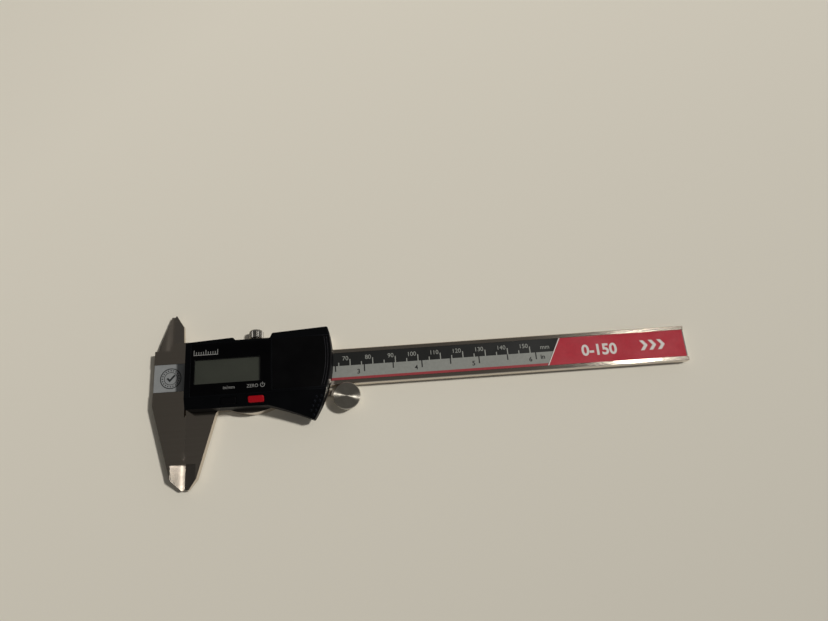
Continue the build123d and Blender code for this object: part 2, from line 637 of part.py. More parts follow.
with BuildPart() as battery:
    discs([(BATTERY_X, BATTERY_Y)], BATTERY_RADIUS, BATTERY_BACK, BATTERY_TOP - 0.3)
    fillet(battery.edges().group_by(Axis.Z)[-1], 0.5)
    discs([(BATTERY_X, BATTERY_Y)], BATTERY_RADIUS - 1.0, BATTERY_TOP - 0.3, BATTERY_TOP)

with BuildPart() as contact_negative:
    slab(BATTERY_X - 5.5, BATTERY_X + 4.0, BATTERY_Y - 1.5, BATTERY_Y + 1.5, CIRCUIT_TOP, BATTERY_BACK)

with BuildPart() as contact_positive:
    side = BATTERY_Y - BATTERY_RADIUS
    slab(BATTERY_X - 2.5, BATTERY_X + 2.5, side - 0.45, side - 0.05, CIRCUIT_TOP, 6.0)
    slab(BATTERY_X - 2.5, BATTERY_X + 2.5, side - 2.0, side - 0.45, CIRCUIT_TOP, CIRCUIT_TOP + 0.4)

with BuildPart() as battery_door:
    with BuildSketch(level(TONGUE_TOP)):
        draw_module_outline()
        with Locations((DOOR_LEFT + 0.4 + 20, (DOOR_LOW + DOOR_HIGH) / 2)):
            Rectangle(40, DOOR_HIGH - DOOR_LOW - 2 * DOOR_GAP, mode=Mode.INTERSECT)
    extrude(amount=MODULE_HEIGHT - TONGUE_TOP)
    with BuildSketch(level(DOOR_BACK)):
        draw_module_outline()
        with Locations((DOOR_LEFT + 0.4 + 20, (DOOR_LOW + DOOR_HIGH) / 2)):
            Rectangle(40, DOOR_HIGH - DOOR_LOW + 2 * (DOOR_TONGUE - DOOR_GAP), mode=Mode.INTERSECT)
    extrude(amount=TONGUE_TOP - DOOR_BACK)
    fillet(battery_door.faces().sort_by(Axis.Z)[-1].edges().sort_by(Axis.X)[-1], DOOR_EDGE_RADIUS)
    # Arched thumb grooves along the right end.
    for inset in DOOR_GROOVE_INSETS:
        with BuildSketch(level(MODULE_HEIGHT - DOOR_GROOVE_DEPTH)):
            with Locations(END_ARC_CENTRE):
                Circle(END_ARC_RADIUS - inset)
                Circle(END_ARC_RADIUS - inset - DOOR_GROOVE_WIDTH, mode=Mode.SUBTRACT)
            with Locations((60, (DOOR_LOW + DOOR_HIGH) / 2)):
                Rectangle(12, DOOR_HIGH - DOOR_LOW - 1.6, mode=Mode.INTERSECT)
        extrude(amount=DOOR_GROOVE_DEPTH, mode=Mode.SUBTRACT)

buttons = {}
for name, x in BUTTON_X.items():
    with BuildPart() as button:
        # The key, with a face that follows the slope of the strip.
        with BuildSketch(level(BUTTON_FLANGE_BACK)):
            with Locations((x, BUTTON_Y)):
                RectangleRounded(BUTTON_WIDTH, BUTTON_DEPTH, 0.7)
        extrude(amount=6.0)
        split(bisect_by=strip_plane(BUTTON_PROUD), keep=Keep.BOTTOM)
        fillet(button.faces().sort_by(Axis.Z)[-1].edges(), 0.35)
        # The flange that keeps it in, and the foot that presses the dome.
        add(button_flange(x).part)
        discs([(x, DOME_Y)], 0.9, BUTTON_FOOT, BUTTON_FLANGE_BACK)
    buttons[name] = button

with BuildPart() as housing_screws:
    for x, y in HOUSING_SCREWS:
        screw(x, y, 1.85, -4.8, -3.5, 0.85, 4.6)

# ================================================================ one STEP file per piece
PIECES = {
    "beam": beam,
    "scale_board": scale_board,
    "scale_strip": scale_strip,
    "end_label": end_label,
    "jaw_label": jaw_label,
    "end_stop": end_stop,
    "end_stop_screws": end_stop_screws,
    "slider": slider,
    "gib": gib,
    "gib_screws": gib_screws,
    "lock_screw": lock_screw,
    "lock_pad": lock_pad,
    "depth_rod": depth_rod,
    "rod_block": rod_block,
    "rod_screws": rod_screws,
    "thumb_roller": thumb_roller,
    "roller_axle": roller_axle,
    "roller_bracket": roller_bracket,
    "bracket_screws": bracket_screws,
    "housing": housing,
    "housing_screws": housing_screws,
    "display_panel": display_panel,
    "display_window": display_window,
    "lcd_glass": lcd_glass,
    "lcd_connector": lcd_connector,
    "circuit_board": circuit_board,
    "chip_cap": chip_cap,
    "board_parts": board_parts,
    "button_domes": button_domes,
    "battery": battery,
    "contact_negative": contact_negative,
    "contact_positive": contact_positive,
    "battery_door": battery_door,
    **buttons,
}

os.makedirs("parts", exist_ok=True)
for name, piece in PIECES.items():
    piece.part.label = name
    export_step(piece.part, f"parts/{name}.step")
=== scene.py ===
"""Looks of a digital caliper: finishes, printing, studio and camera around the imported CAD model.

Everything is in metres in the row frame. Sizes marked mm are multiplied by MM where they are used.
"""
import math

import bmesh
import bpy
from mathutils import Matrix, Vector


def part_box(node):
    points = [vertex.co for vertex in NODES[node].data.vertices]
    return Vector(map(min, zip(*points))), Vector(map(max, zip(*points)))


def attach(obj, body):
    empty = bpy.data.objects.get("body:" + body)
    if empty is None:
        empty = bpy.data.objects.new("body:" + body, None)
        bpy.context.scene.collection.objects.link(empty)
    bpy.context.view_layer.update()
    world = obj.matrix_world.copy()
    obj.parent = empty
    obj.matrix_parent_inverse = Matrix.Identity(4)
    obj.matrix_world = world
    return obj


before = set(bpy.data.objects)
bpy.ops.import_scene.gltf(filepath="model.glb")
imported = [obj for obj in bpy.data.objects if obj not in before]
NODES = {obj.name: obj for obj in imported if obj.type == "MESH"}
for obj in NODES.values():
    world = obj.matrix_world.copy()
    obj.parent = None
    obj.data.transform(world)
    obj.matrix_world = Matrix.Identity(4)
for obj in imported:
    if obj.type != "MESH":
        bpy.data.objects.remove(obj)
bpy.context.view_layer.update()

MM = 0.001
PER_MM = 1000.0          # texture scale that gives one feature a millimetre

# Places on the printed strip are given in mm along the scale from its zero, and in mm above the
# strip's middle line.
STRIP_LEAD = 1.9         # mm from the strip's left end to the scale's zero
strip_low, strip_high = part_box("scale_strip")
ZERO_X = strip_low.x + STRIP_LEAD * MM
MIDDLE_Y = (strip_low.y + strip_high.y) / 2
ZONE_EDGE = 0.2          # mm above the middle line, where the dark zone meets the light zone
RED_EDGE = -5.0          # mm, top of the red rule along the strip's lower edge


def srgb(red, green, blue):
    """Linear colour of an 8-bit display colour."""
    return tuple(((c / 255 + 0.055) / 1.055) ** 2.4 if c > 10 else c / 255 / 12.92
                 for c in (red, green, blue)) + (1.0,)


def shade(colour, factor):
    """The colour made darker or paler, with no channel above full."""
    return tuple(min(1.0, c * factor) for c in colour[:3]) + (1.0,)


def on_scale(x, y):
    """Row-frame place of a point given in mm along the scale and above its middle line."""
    return ZERO_X + x * MM, MIDDLE_Y + y * MM


# ---------------------------------------------------------------- finishes

EDGE_SHARP = 0.80        # how alike the rounded and the flat normal are on a sharp edge
EDGE_NONE = 0.995        # and how alike they are from where the face counts as flat
LENS_MIRROR = 0.045      # share of the light that a clear lens throws back at each face


class Finish:
    """A material with one Principled shader, and short ways to add procedural detail to it."""

    def __init__(self, name, **sockets):
        self.material = bpy.data.materials.new(name)
        self.material.use_nodes = True
        self.tree = self.material.node_tree
        self.shader = self.tree.nodes["Principled BSDF"]
        for socket, value in sockets.items():
            self.shader.inputs[socket.replace("_", " ")].default_value = value
        self.place = self.tree.nodes.new("ShaderNodeTexCoord").outputs["Object"]
        self.normal = None

    def node(self, kind, inputs=(), **settings):
        """A new node. Inputs given as sockets are linked, and inputs given as values are set."""
        made = self.tree.nodes.new(kind)
        for key, value in settings.items():
            setattr(made, key, value)
        for socket, value in dict(inputs).items():
            if isinstance(value, bpy.types.NodeSocket):
                self.tree.links.new(value, made.inputs[socket])
            else:
                made.inputs[socket].default_value = value
        return made

    def drive(self, socket, source):
        self.tree.links.new(source, self.shader.inputs[socket])

    def noise(self, scale, detail, stretch=None):
        """Soft noise, drawn out along the axes whose stretch is below 1."""
        place = self.place
        if stretch:
            place = self.node("ShaderNodeMapping",
                              {"Vector": self.place, "Scale": stretch}).outputs[0]
        return self.node("ShaderNodeTexNoise",
                         {"Vector": place, "Scale": scale, "Detail": detail}).outputs["Fac"]

    def cells(self, scale):
        """Distance from the middle of the nearest cell, in cells."""
        return self.node("ShaderNodeTexVoronoi",
                         {"Vector": self.place, "Scale": scale}).outputs["Distance"]

    def between(self, value, low, high, start=0.3, end=0.7):
        """value from start to end becomes low to high. Most noise lies from 0.3 to 0.7."""
        return self.node("ShaderNodeMapRange",
                         {"Value": value, "From Min": start, "From Max": end,
                          "To Min": low, "To Max": high}).outputs[0]

    def maths(self, operation, first, second):
        return self.node("ShaderNodeMath", {0: first, 1: second}, operation=operation).outputs[0]

    def blend(self, first, share, second):
        """The mean of two values, in which first counts for share and second for the rest."""
        return self.maths("ADD", self.maths("MULTIPLY", first, share),
                          self.maths("MULTIPLY", second, 1.0 - share))

    def mix(self, share, first, second):
        """Colour from first to second as share goes from 0 to 1."""
        return self.node("ShaderNodeMix", {"Factor": share, 6: first, 7: second},
                         data_type="RGBA").outputs[2]

    def edges(self, radius):
        """0 on flat stretches, 1 on a sharp edge. The next bump is laid on the rounded normal."""
        rounded = self.node("ShaderNodeBevel", {"Radius": radius * MM}, samples=4).outputs[0]
        flat = self.node("ShaderNodeNewGeometry").outputs["True Normal"]
        alike = self.node("ShaderNodeVectorMath", {0: rounded, 1: flat},
                          operation="DOT_PRODUCT").outputs["Value"]
        self.normal = rounded
        return self.between(alike, 1.0, 0.0, start=EDGE_SHARP, end=EDGE_NONE)

    def bump(self, height, depth, strength):
        """Adds relief: height 0 to 1 stands for depth in mm."""
        inputs = {"Height": height, "Distance": depth * MM, "Strength": strength}
        if self.normal:
            inputs["Normal"] = self.normal
        self.normal = self.node("ShaderNodeBump", inputs).outputs[0]
        self.drive("Normal", self.normal)

    def grain_along(self, axis):
        """Turns the shader's anisotropy about this axis."""
        around = self.node("ShaderNodeTangent", direction_type="RADIAL", axis=axis)
        self.drive("Tangent", around.outputs[0])


def steel(name, dull, bright, rough, smooth, edge_radius, wear_and_highlight_gain=0.7):
    """Ground metal: fine lines along X, faint handling patches, edges worn bright."""
    made = Finish(name, Metallic=1.0, Anisotropic=0.5)
    made.grain_along("X")
    wear_and_highlight = made.edges(edge_radius)
    lines = made.noise(7 * PER_MM, 2.0, stretch=(0.012, 1.0, 1.0))
    streaks = made.noise(1.2 * PER_MM, 3.0, stretch=(0.02, 1.0, 1.0))
    patches = made.noise(0.07 * PER_MM, 4.0)
    tone = made.blend(lines, 0.45, streaks)
    colour = made.mix(made.between(tone, 0.0, 1.0), dull, bright)
    rubbed_and_lit = shade(bright, 1.35)
    made.drive("Base Color", made.mix(made.maths("MULTIPLY", wear_and_highlight, wear_and_highlight_gain), colour, rubbed_and_lit))
    sheen = made.blend(tone, 0.6, patches)
    made.drive("Roughness", made.between(sheen, rough, smooth, start=0.35, end=0.65))
    made.bump(lines, 0.0015, 0.5)
    return made.material


def turned_steel(name, dull, bright, roughness, anisotropy, axis):
    """Lathe-turned steel: mottled, with a highlight that fans out from the middle."""
    made = Finish(name, Metallic=1.0, Anisotropic=anisotropy, Anisotropic_Rotation=0.25)
    mottle = made.noise(3.0 * PER_MM, 2.0)
    patches = made.noise(0.5 * PER_MM, 3.0)
    made.drive("Base Color", made.mix(made.between(mottle, 0.0, 1.0), dull, bright))
    made.drive("Roughness", made.between(patches, roughness * 0.8, roughness * 1.2))
    made.grain_along(axis)
    made.bump(made.noise(9 * PER_MM, 2.0), 0.002, 0.4)
    return made.material


def plastic(name, colour, roughness, relief, wear_and_highlight_gain=2.2, wear_and_highlight_span=None):
    """Moulded plastic with a spark-eroded grain. Its edges are paler: partly rubbed by hands, and
    partly a painted highlight where the edges catch the light.

    wear_and_highlight_span is the stretch along X, in mm in the row frame, over which the paler
    edges (wear and painted highlight) set in.
    """
    made = Finish(name, Specular_IOR_Level=0.07)
    wear_and_highlight = made.edges(0.2)
    if wear_and_highlight_span:
        along = made.node("ShaderNodeSeparateXYZ", {"Vector": made.place}).outputs["X"]
        wear_and_highlight_reach = made.between(along, 0.2, 1.0, start=wear_and_highlight_span[0] * MM, end=wear_and_highlight_span[1] * MM)
        wear_and_highlight = made.maths("MULTIPLY", wear_and_highlight, wear_and_highlight_reach)
    fine = made.noise(3.5 * PER_MM, 3.0)
    patches = made.noise(0.12 * PER_MM, 4.0)
    body = made.mix(made.between(patches, 0.0, 1.0), shade(colour, 0.75), colour)
    # The paler edge colour is partly rubbing and partly a painted highlight; a large gain turns it
    # into lit ridges.
    rubbed_and_lit = shade(colour, wear_and_highlight_gain)
    made.drive("Base Color", made.mix(made.maths("MULTIPLY", wear_and_highlight, 0.8), body, rubbed_and_lit))
    made.drive("Roughness", made.between(patches, roughness * 0.85, roughness * 1.15))
    made.bump(fine, relief, 0.6)
    return made.material


def gloss_panel():
    """Polished black plastic with hairline scratches and faint finger marks."""
    made = Finish("gloss_black", Specular_IOR_Level=0.15)
    made.edges(0.15)
    smears = made.noise(0.15 * PER_MM, 4.0)
    scratches = made.noise(4 * PER_MM, 2.0, stretch=(0.05, 1.0, 1.0))
    made.drive("Base Color", made.mix(made.between(smears, 0.0, 1.0), srgb(2, 2, 3),
                                      srgb(4, 4, 5)))
    made.drive("Roughness", made.between(smears, 0.10, 0.22))
    made.bump(scratches, 0.001, 0.3)
    return made.material


def clear_window():
    """A flat clear lens: it lets light through, and mirrors a little at every angle."""
    made = Finish("clear_lens")
    smears = made.noise(0.2 * PER_MM, 4.0)
    mirror = made.node("ShaderNodeBsdfGlossy", {"Color": (1, 1, 1, 1),
                                                "Roughness": made.between(smears, 0.05, 0.12)})
    through = made.node("ShaderNodeBsdfTransparent", {"Color": (0.93, 0.95, 0.93, 1.0)})
    both = made.node("ShaderNodeMixShader", {0: LENS_MIRROR, 1: through.outputs[0],
                                             2: mirror.outputs[0]})
    made.tree.links.new(both.outputs[0], made.tree.nodes["Material Output"].inputs["Surface"])
    made.tree.nodes.remove(made.shader)
    return made.material


def display_glass():
    """The liquid crystal cell, switched off: grey-green, a little uneven."""
    made = Finish("lcd")
    cloud = made.noise(0.06 * PER_MM, 2.0)
    weave = made.noise(5 * PER_MM, 1.0)
    made.drive("Base Color", made.mix(made.between(cloud, 0.0, 1.0), srgb(64, 64, 59),
                                      srgb(71, 71, 65)))
    made.drive("Roughness", made.between(weave, 0.32, 0.42))
    made.bump(weave, 0.001, 0.3)
    return made.material


def printed(name, colour, bands=(), roughness=0.6):
    """Matt film printed in one colour, and in each band's colour above the band's y in mm."""
    made = Finish(name, Specular_IOR_Level=0.3)
    height = made.node("ShaderNodeSeparateXYZ", {"Vector": made.place}).outputs["Y"]
    for start, tint in bands:
        above = made.maths("GREATER_THAN", height, MIDDLE_Y + start * MM)
        colour = made.mix(above, colour, tint)
    mottle = made.noise(0.9 * PER_MM, 4.0)
    made.drive("Base Color", made.mix(made.between(mottle, 0.12, 0.0), colour, (0, 0, 0, 1)))
    made.drive("Roughness", made.between(made.noise(0.1 * PER_MM, 3.0), roughness * 0.8,
                                         roughness * 1.2))
    made.bump(made.noise(2.5 * PER_MM, 2.0), 0.003, 0.35)
    return made.material


def ink(name, colour):
    """Screen-printed ink: a little uneven in cover and sheen."""
    made = Finish(name, Specular_IOR_Level=0.4)
    cover = made.noise(2.2 * PER_MM, 4.0)
    made.drive("Base Color", made.mix(made.between(cover, 0.0, 1.0), shade(colour, 0.82), colour))
    made.drive("Roughness", made.between(cover, 0.66, 0.44))
    made.bump(cover, 0.002, 0.3)
    return made.material


def rubber(name, colour, roughness, specular=0.2):
    """Moulded silicone key: soft sheen, fine matt grain, paler where fingers press it."""
    made = Finish(name, Specular_IOR_Level=specular)
    wear_and_highlight = made.edges(0.25)
    grain = made.noise(4 * PER_MM, 3.0)
    body = made.mix(made.between(grain, 0.0, 1.0), shade(colour, 0.8), colour)
    rubbed_and_lit = shade(colour, 1.25)
    made.drive("Base Color", made.mix(made.maths("MULTIPLY", wear_and_highlight, 0.6), body, rubbed_and_lit))
    made.drive("Roughness", made.between(grain, roughness * 0.9, roughness * 1.1))
    made.bump(grain, 0.006, 0.5)
    return made.material


def laminate(name, deep, first, second, copper):
    """Solder mask over a glass-fibre weave, with copper tracks showing faintly through."""
    made = Finish(name, Coat_Weight=0.4, Coat_Roughness=0.2)
    weave = made.cells(1.6 * PER_MM)
    tracks = made.node("ShaderNodeTexBrick", {"Vector": made.place, "Scale": 0.45 * PER_MM,
                                              "Mortar Size": 0.06, "Color1": first,
                                              "Color2": second, "Mortar": copper}).outputs["Color"]
    shadow = made.between(weave, 0.0, 0.4, start=0.0, end=0.8)
    made.drive("Base Color", made.mix(shadow, tracks, deep))
    made.drive("Roughness", made.between(weave, 0.30, 0.45, start=0.0, end=0.8))
    made.bump(weave, 0.01, 0.4)
    return made.material


def set_finish(material, *nodes):
    for name in nodes:
        for material_slot in NODES[name].material_slots:
            material_slot.material = material


set_finish(steel("satin_steel", (0.61, 0.54, 0.455, 1), (0.68, 0.605, 0.52, 1),
                 rough=0.17, smooth=0.12, edge_radius=0.02, wear_and_highlight_gain=0.2),
           "beam", "end_stop", "depth_rod", "rod_block")
# A slightly darker copy of the satin steel: painted shade that makes the moving jaw sit darker than
# the fixed one.
set_finish(steel("slider_steel_shaded", (0.57, 0.505, 0.43, 1), (0.635, 0.565, 0.49, 1),
                 rough=0.17, smooth=0.12, edge_radius=0.02, wear_and_highlight_gain=0.2),
           "slider", "roller_bracket")
set_finish(steel("screw_steel", (0.42, 0.41, 0.40, 1), (0.66, 0.65, 0.63, 1),
                 rough=0.38, smooth=0.22, edge_radius=0.08),
           "end_stop_screws", "bracket_screws", "gib_screws", "housing_screws", "rod_screws",
           "roller_axle")
set_finish(turned_steel("roller_steel", (0.62, 0.58, 0.50, 1), (0.78, 0.735, 0.645, 1),
                        roughness=0.20, anisotropy=1.0, axis="Z"), "thumb_roller")
set_finish(turned_steel("knob_steel", (0.27, 0.26, 0.24, 1), (0.38, 0.365, 0.335, 1),
                        roughness=0.26, anisotropy=0.45, axis="Y"), "lock_screw")
set_finish(steel("gib_brass", (0.62, 0.42, 0.16, 1), (0.80, 0.58, 0.26, 1),
                 rough=0.42, smooth=0.28, edge_radius=0.08), "gib", "lock_pad")
set_finish(steel("contact_steel", (0.62, 0.58, 0.46, 1), (0.80, 0.76, 0.62, 1),
                 rough=0.34, smooth=0.20, edge_radius=0.08),
           "button_domes", "contact_negative", "contact_positive")
set_finish(steel("battery_steel", (0.66, 0.66, 0.66, 1), (0.84, 0.84, 0.83, 1),
                 rough=0.26, smooth=0.14, edge_radius=0.1), "battery")
# On the housing and door the pale edges are mostly a painted highlight on the end ridges, grip dots
# and recess slope, with a little rubbing.
set_finish(plastic("black_housing", srgb(5, 6, 8), 0.45, relief=0.010, wear_and_highlight_gain=27.0,
                   wear_and_highlight_span=(-52, -48)), "housing")
set_finish(plastic("door_plastic", srgb(6, 6, 7), 0.42, relief=0.007, wear_and_highlight_gain=34.0,
                   wear_and_highlight_span=(-46, -43.5)), "battery_door")
set_finish(plastic("chip_resin", srgb(22, 22, 24), 0.35, relief=0.006), "chip_cap")
set_finish(plastic("board_parts", srgb(96, 84, 66), 0.40, relief=0.006, wear_and_highlight_gain=1.5), "board_parts")
set_finish(gloss_panel(), "display_panel")
set_finish(clear_window(), "display_window")
set_finish(display_glass(), "lcd_glass")
set_finish(rubber("contact_rubber", srgb(52, 50, 56), 0.6), "lcd_connector")
set_finish(rubber("black_key", srgb(3, 3, 5), 0.5, specular=0.07), "unit_button")
set_finish(rubber("red_key", srgb(168, 10, 24), 0.42), "zero_button")
set_finish(laminate("circuit_laminate", deep=srgb(10, 52, 30), first=srgb(16, 70, 40),
                    second=srgb(20, 84, 46), copper=srgb(34, 110, 58)), "circuit_board")
# The scale board gets a dark laminate instead of green: painted shade for its end, which shows
# beside the label's right end.
set_finish(laminate("scale_laminate", deep=srgb(22, 19, 17), first=srgb(34, 30, 26),
                    second=srgb(40, 35, 30), copper=srgb(66, 52, 38)), "scale_board")

STRIP_RED = srgb(158, 58, 64)
STRIP_LIGHT = srgb(145, 147, 142)
STRIP_DARK = srgb(19, 21, 20)
set_finish(printed("printed_overlay", STRIP_RED,
                   bands=[(RED_EDGE, STRIP_LIGHT), (ZONE_EDGE, STRIP_DARK)]), "scale_strip")
set_finish(printed("printed_red", srgb(180, 40, 56)), "end_label")
set_finish(printed("printed_silver", srgb(148, 151, 152), roughness=0.5), "jaw_label")
WHITE_INK = ink("white_ink", srgb(222, 216, 212))
SCALE_INK = ink("scale_ink", srgb(158, 160, 154))
BLACK_INK = ink("black_ink", srgb(12, 12, 12))
GREY_INK = ink("grey_ink", srgb(32, 34, 36))
PANEL_INK = ink("panel_ink", srgb(138, 138, 136))


# ---------------------------------------------------------------- printing
# Sizes and places here are in mm on the scale, and a surface's height is in metres.

INK_RISE = 0.02          # how far printing stands on the surface that carries it
INK_SINK = 0.05          # how far it reaches down into that surface
CAP_HEIGHT = 0.73        # height of a figure in the built-in face, as a share of its size
DISC_SIDES = 12
MERGE = 1e-7             # metres, corners closer than this become one

METRIC_LENGTH = 150      # length of the millimetre scale
INCH = 25.4
INCHES = 6               # length of the inch scale, in inches


class Print:
    """Printing on one surface: every mark is a thin closed prism that stands a hair proud of it."""

    def __init__(self, surface_z):
        self.mesh = bmesh.new()
        self.low = surface_z - INK_SINK * MM
        self.high = surface_z + INK_RISE * MM

    def prism(self, corners):
        """A prism on these corners, which go round anticlockwise."""
        places = [on_scale(x, y) for x, y in corners]
        low = [self.mesh.verts.new((x, y, self.low)) for x, y in places]
        high = [self.mesh.verts.new((x, y, self.high)) for x, y in places]
        self.mesh.faces.new(high)
        self.mesh.faces.new(low[::-1])
        for i in range(len(places)):
            j = (i + 1) % len(places)
            self.mesh.faces.new((low[i], low[j], high[j], high[i]))

    def bar(self, left, right, bottom, top, lean=0.0):
        self.prism([(left, bottom), (right, bottom), (right + lean, top), (left + lean, top)])

    def tick(self, x, foot, length, width):
        """A mark centred on x, from foot up, or down where length is negative."""
        self.bar(x - width / 2, x + width / 2, min(foot, foot + length),
                 max(foot, foot + length))

    def arc(self, x, y, inner, outer, start=0.0, sweep=360.0, steps=72):
        """A ring, or part of one, from start over sweep degrees, in short straight steps."""
        whole = abs(sweep) >= 360.0
        turns = [math.radians(start + sweep * i / steps) for i in range(steps + (not whole))]
        profile = ((inner, self.low), (outer, self.low), (outer, self.high), (inner, self.high))
        loops = []
        for turn in turns:
            loop = []
            for radius, z in profile:
                px, py = on_scale(x + radius * math.cos(turn), y + radius * math.sin(turn))
                loop.append(self.mesh.verts.new((px, py, z)))
            loops.append(loop)
        for i in range(steps):
            here, there = loops[i], loops[(i + 1) % len(loops)]
            for k in range(4):
                m = (k + 1) % 4
                self.mesh.faces.new((here[k], there[k], there[m], here[m]))
        if not whole:
            self.mesh.faces.new(loops[0])
            self.mesh.faces.new(loops[-1][::-1])

    def disc(self, x, y, radius):
        turns = [2 * math.pi * i / DISC_SIDES for i in range(DISC_SIDES)]
        self.prism([(x + radius * math.cos(t), y + radius * math.sin(t)) for t in turns])

    def text(self, words, x, y, height, align="CENTER", heavy=0.0, stretch=1.0):
        """Plain lettering, height tall, its foot at y, ending at x or centred on it."""
        curve = bpy.data.curves.new("lettering", "FONT")
        curve.body = words
        curve.size = 1.0
        curve.align_x = align
        curve.offset = heavy
        curve.extrude = 0.5      # to each side, so the lettering is 1 thick before it is scaled
        holder = bpy.data.objects.new("lettering", curve)
        bpy.context.scene.collection.objects.link(holder)
        bpy.context.view_layer.update()
        shape = bpy.data.meshes.new_from_object(
            holder.evaluated_get(bpy.context.evaluated_depsgraph_get()))
        scale = height / CAP_HEIGHT * MM
        px, py = on_scale(x, y)
        thick = self.high - self.low
        shape.transform(Matrix.Translation((px, py, (self.low + self.high) / 2))
                        @ Matrix.Diagonal((scale * stretch, scale, thick, 1.0)))
        self.mesh.from_mesh(shape)
        bpy.data.objects.remove(holder)
        bpy.data.curves.remove(curve)
        bpy.data.meshes.remove(shape)

    def place(self, name, body, slot, material):
        """Makes one piece of all the marks, which rides on body. The slot argument is not used."""
        bmesh.ops.remove_doubles(self.mesh, verts=self.mesh.verts, dist=MERGE)
        bmesh.ops.recalc_face_normals(self.mesh, faces=self.mesh.faces)
        mesh = bpy.data.meshes.new(name)
        self.mesh.to_mesh(mesh)
        self.mesh.free()
        mesh.materials.append(material)
        piece = bpy.data.objects.new(name, mesh)
        bpy.context.scene.collection.objects.link(piece)
        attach(piece, body)


def print_metric(top):
    """Pale marks every 5 mm above the zones' edge, with a figure at every 10 mm."""
    marks = Print(top)
    long_mark, short_mark, mark_width = 2.9, 1.5, 0.42
    figure_gap, figure_foot, figure_height = 0.65, 2.6, 2.0
    unit_x, unit_foot = 156.8, 1.6
    for x in range(0, METRIC_LENGTH + 1, 5):
        whole = x % 10 == 0
        marks.tick(x, ZONE_EDGE, long_mark if whole else short_mark, mark_width)
        if whole and x:
            marks.text(str(x), x - figure_gap, figure_foot, figure_height, "RIGHT")
    marks.text("mm", unit_x, unit_foot, figure_height)
    marks.place("metric_marks", "beam_assembly", "printed_overlay", SCALE_INK)


def print_inches(top):
    """Black marks every half inch below the zones' edge, with a figure at every inch."""
    marks = Print(top)
    long_mark, short_mark, mark_width = -3.1, -2.5, 0.52
    figure_gap, figure_foot, figure_height = 1.85, -3.7, 2.1
    unit_x, unit_foot = 155.4, -2.9
    for half in range(2 * INCHES + 1):
        x = half * INCH / 2
        whole = half % 2 == 0
        marks.tick(x, ZONE_EDGE, long_mark if whole else short_mark, mark_width)
        if whole and half:
            marks.text(str(half // 2), x - figure_gap, figure_foot, figure_height, "RIGHT",
                       heavy=0.02)
    marks.text("in", unit_x, unit_foot, figure_height, heavy=0.03)
    marks.place("inch_marks", "beam_assembly", "printed_overlay", BLACK_INK)


def print_end_label(top):
    """A white rule on the label's slanted edge, the measuring range and three chevrons."""
    marks = Print(top)
    label_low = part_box("end_label")[0]
    bottom = (label_low.y - MIDDLE_Y) / MM
    foot = (label_low.x - ZERO_X) / MM
    margin = 0.02            # between the rule and the label's edges
    rule_right = 0.5         # from the label's left end, at its foot
    lean = 6.4               # how far the slanted edge goes over to the right
    marks.bar(foot + margin, foot + rule_right, bottom + margin, -bottom - margin, lean)
    range_x, range_foot, range_height = 181.0, -2.7, 5.0
    marks.text("0-150", range_x, range_foot, range_height, heavy=0.03)
    first_chevron, chevron_step = 199.6, 3.9
    chevron = ((0.0, -2.2), (1.7, -2.2), (3.5, 0.1), (1.7, 2.4), (0.0, 2.4), (1.8, 0.1))
    for i in range(3):
        left = first_chevron + chevron_step * i
        marks.prism([(left + x, y) for x, y in chevron])
    marks.place("label_print", "beam_assembly", "printed_label", WHITE_INK)


def print_jaw_label(top):
    """An inspection stamp: two rings, a ring of dots and a check mark."""
    marks = Print(top)
    x, y = -8.1, -0.24       # the stamp's middle
    for inner, outer in ((4.2, 4.6), (2.65, 2.9)):
        marks.arc(x, y, inner, outer)
    dots, dot_circle, dot_radius = 20, 3.6, 0.29
    for i in range(dots):
        turn = 2 * math.pi * i / dots
        marks.disc(x + dot_circle * math.cos(turn), y + dot_circle * math.sin(turn), dot_radius)
    check = ((-1.8, -0.05), (-0.4, -1.6), (2.1, 1.2), (1.5, 1.8), (-0.4, -0.35), (-1.2, 0.5))
    marks.prism([(x + dx, y + dy) for dx, dy in check])
    marks.place("label_stamp", "beam_assembly", "printed_label", GREY_INK)


def print_panel(top):
    """Key legends under the window, a power symbol, and a small rule with ticks above it."""
    marks = Print(top)
    marks.text("in/mm", x=19.3, y=-8.75, height=1.45)
    marks.text("ZERO", x=29.2, y=-8.8, height=1.5, stretch=0.92)
    power_x, power_y = 33.4, -7.95
    ring_inner, ring_outer = 0.72, 0.98
    stroke_foot, stroke_length, stroke_width = -7.9, 1.15, 0.24
    marks.arc(power_x, power_y, ring_inner, ring_outer, start=120.0, sweep=300.0, steps=40)
    marks.tick(power_x, stroke_foot, stroke_length, stroke_width)
    rule_left, rule_foot, spaces = 4.3, 6.9, 10
    long_mark, short_mark, mark_width = 2.1, 1.3, 0.28
    overlap = 0.02           # so that the marks and the line under them join
    for i in range(spaces + 1):
        marks.tick(rule_left + i, rule_foot, short_mark if i % 5 else long_mark, mark_width)
    marks.bar(rule_left - mark_width / 2, rule_left + spaces + mark_width / 2,
              rule_foot - mark_width, rule_foot + overlap)
    marks.place("panel_print", "slider_assembly", "gloss_black", PANEL_INK)


print_metric(strip_high.z)
print_inches(strip_high.z)
print_end_label(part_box("end_label")[1].z)
print_jaw_label(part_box("jaw_label")[1].z)
print_panel(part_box("display_panel")[1].z)


# ---------------------------------------------------------------- studio
# Places and sizes here are in metres.

FLOOR_HALF = 3.0
FLOOR_LEVEL = -0.05 * MM
FLOOR_SHADE_FADE = 0.30        # how far to each side of the origin the floor's colour changes

LAMP_DISTANCE = 3.6
LAMP_COLOUR = (1.0, 0.97, 0.92)

HORIZON = (0.40, 0.395, 0.39, 1)
OVERHEAD = (0.070, 0.0675, 0.0635, 1)

CAMERA_PLACE = (-0.014148, -0.067952, 0.288780)
CAMERA_AHEAD = (0.03846, 0.33571, -0.94118)
CAMERA_UP = (0.06623, 0.93895, 0.33762)
CAMERA_LENS = 28.887     # mm, on a sensor 36 mm wide


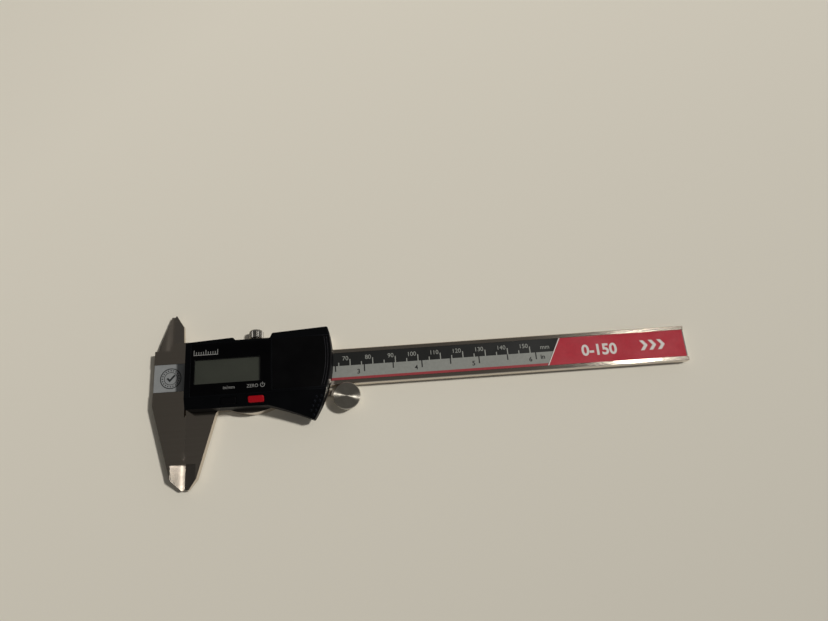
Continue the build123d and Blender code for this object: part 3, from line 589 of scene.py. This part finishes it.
def floor():
    """A pale sheet of paper under the caliper, with painted shade: a little darker towards the
    front right.
    """
    made = Finish("paper", Roughness=0.85)
    fibres = made.noise(1.1 * PER_MM, 4.0)
    place = made.node("ShaderNodeSeparateXYZ", {"Vector": made.place})
    across = made.maths("SUBTRACT", place.outputs["X"], place.outputs["Y"])
    # Painted shade: the paper's colour falls off towards the front right, as the light does.
    made.drive("Base Color", made.mix(made.between(across, 0.0, 1.0, -FLOOR_SHADE_FADE, FLOOR_SHADE_FADE),
                                      srgb(246, 241, 227), srgb(211, 207, 195)))
    made.bump(fibres, 0.03, 0.35)
    mesh = bpy.data.meshes.new("floor")
    corners = ((-1, -1), (1, -1), (1, 1), (-1, 1))
    mesh.from_pydata([(x * FLOOR_HALF, y * FLOOR_HALF, FLOOR_LEVEL) for x, y in corners],
                     [], [(0, 1, 2, 3)])
    mesh.materials.append(made.material)
    sheet = bpy.data.objects.new("floor", mesh)
    bpy.context.scene.collection.objects.link(sheet)


def lamp(name, direction, size, power):
    """A round soft lamp that shines at the object from that direction."""
    light = bpy.data.lights.new(name, "AREA")
    light.shape = "DISK"
    light.size = size
    light.energy = power
    light.color = LAMP_COLOUR
    holder = bpy.data.objects.new(name, light)
    bpy.context.scene.collection.objects.link(holder)
    towards = Vector(direction).normalized()
    holder.location = towards * LAMP_DISTANCE
    holder.rotation_euler = towards.to_track_quat("Z", "Y").to_euler()


def surroundings():
    """A dim room: dark overhead, brighter walls at the horizon, and a darker wall on the left."""
    world = bpy.data.worlds.new("room")
    bpy.context.scene.world = world
    world.use_nodes = True
    tree = world.node_tree
    background = tree.nodes["Background"]
    direction = tree.nodes.new("ShaderNodeTexCoord").outputs["Generated"]
    parts = tree.nodes.new("ShaderNodeSeparateXYZ")
    tree.links.new(direction, parts.inputs[0])
    ramp = tree.nodes.new("ShaderNodeValToRGB")
    for stop, position, colour in zip(ramp.color_ramp.elements, (0.0, 0.9), (HORIZON, OVERHEAD)):
        stop.position = position
        stop.color = colour
    tree.links.new(parts.outputs["Z"], ramp.inputs["Fac"])
    tree.links.new(ramp.outputs[0], background.inputs["Color"])
    strength = tree.nodes.new("ShaderNodeMapRange")
    for socket, value in (("From Min", -0.9), ("From Max", -0.2),
                          ("To Min", 0.15), ("To Max", 1.05)):
        strength.inputs[socket].default_value = value
    tree.links.new(parts.outputs["X"], strength.inputs["Value"])
    tree.links.new(strength.outputs[0], background.inputs["Strength"])


def camera():
    """Close above the caliper, looking steeply down from the front."""
    data = bpy.data.cameras.new("camera")
    data.lens = CAMERA_LENS
    data.sensor_width = 36.0
    data.clip_start = 0.01
    holder = bpy.data.objects.new("camera", data)
    bpy.context.scene.collection.objects.link(holder)
    ahead = Vector(CAMERA_AHEAD).normalized()
    right = ahead.cross(Vector(CAMERA_UP)).normalized()
    up = right.cross(ahead)
    turn = Matrix((right, up, -ahead)).transposed().to_4x4()
    holder.matrix_world = Matrix.Translation(CAMERA_PLACE) @ turn
    bpy.context.scene.camera = holder


floor()
lamp("key", direction=(0.57, 0.075, 0.82), size=0.34, power=84.0)
lamp("fill", direction=(0.379, 0.203, 0.93), size=0.12, power=2.3)
surroundings()
camera()
bpy.context.scene.view_settings.view_transform = "Standard"
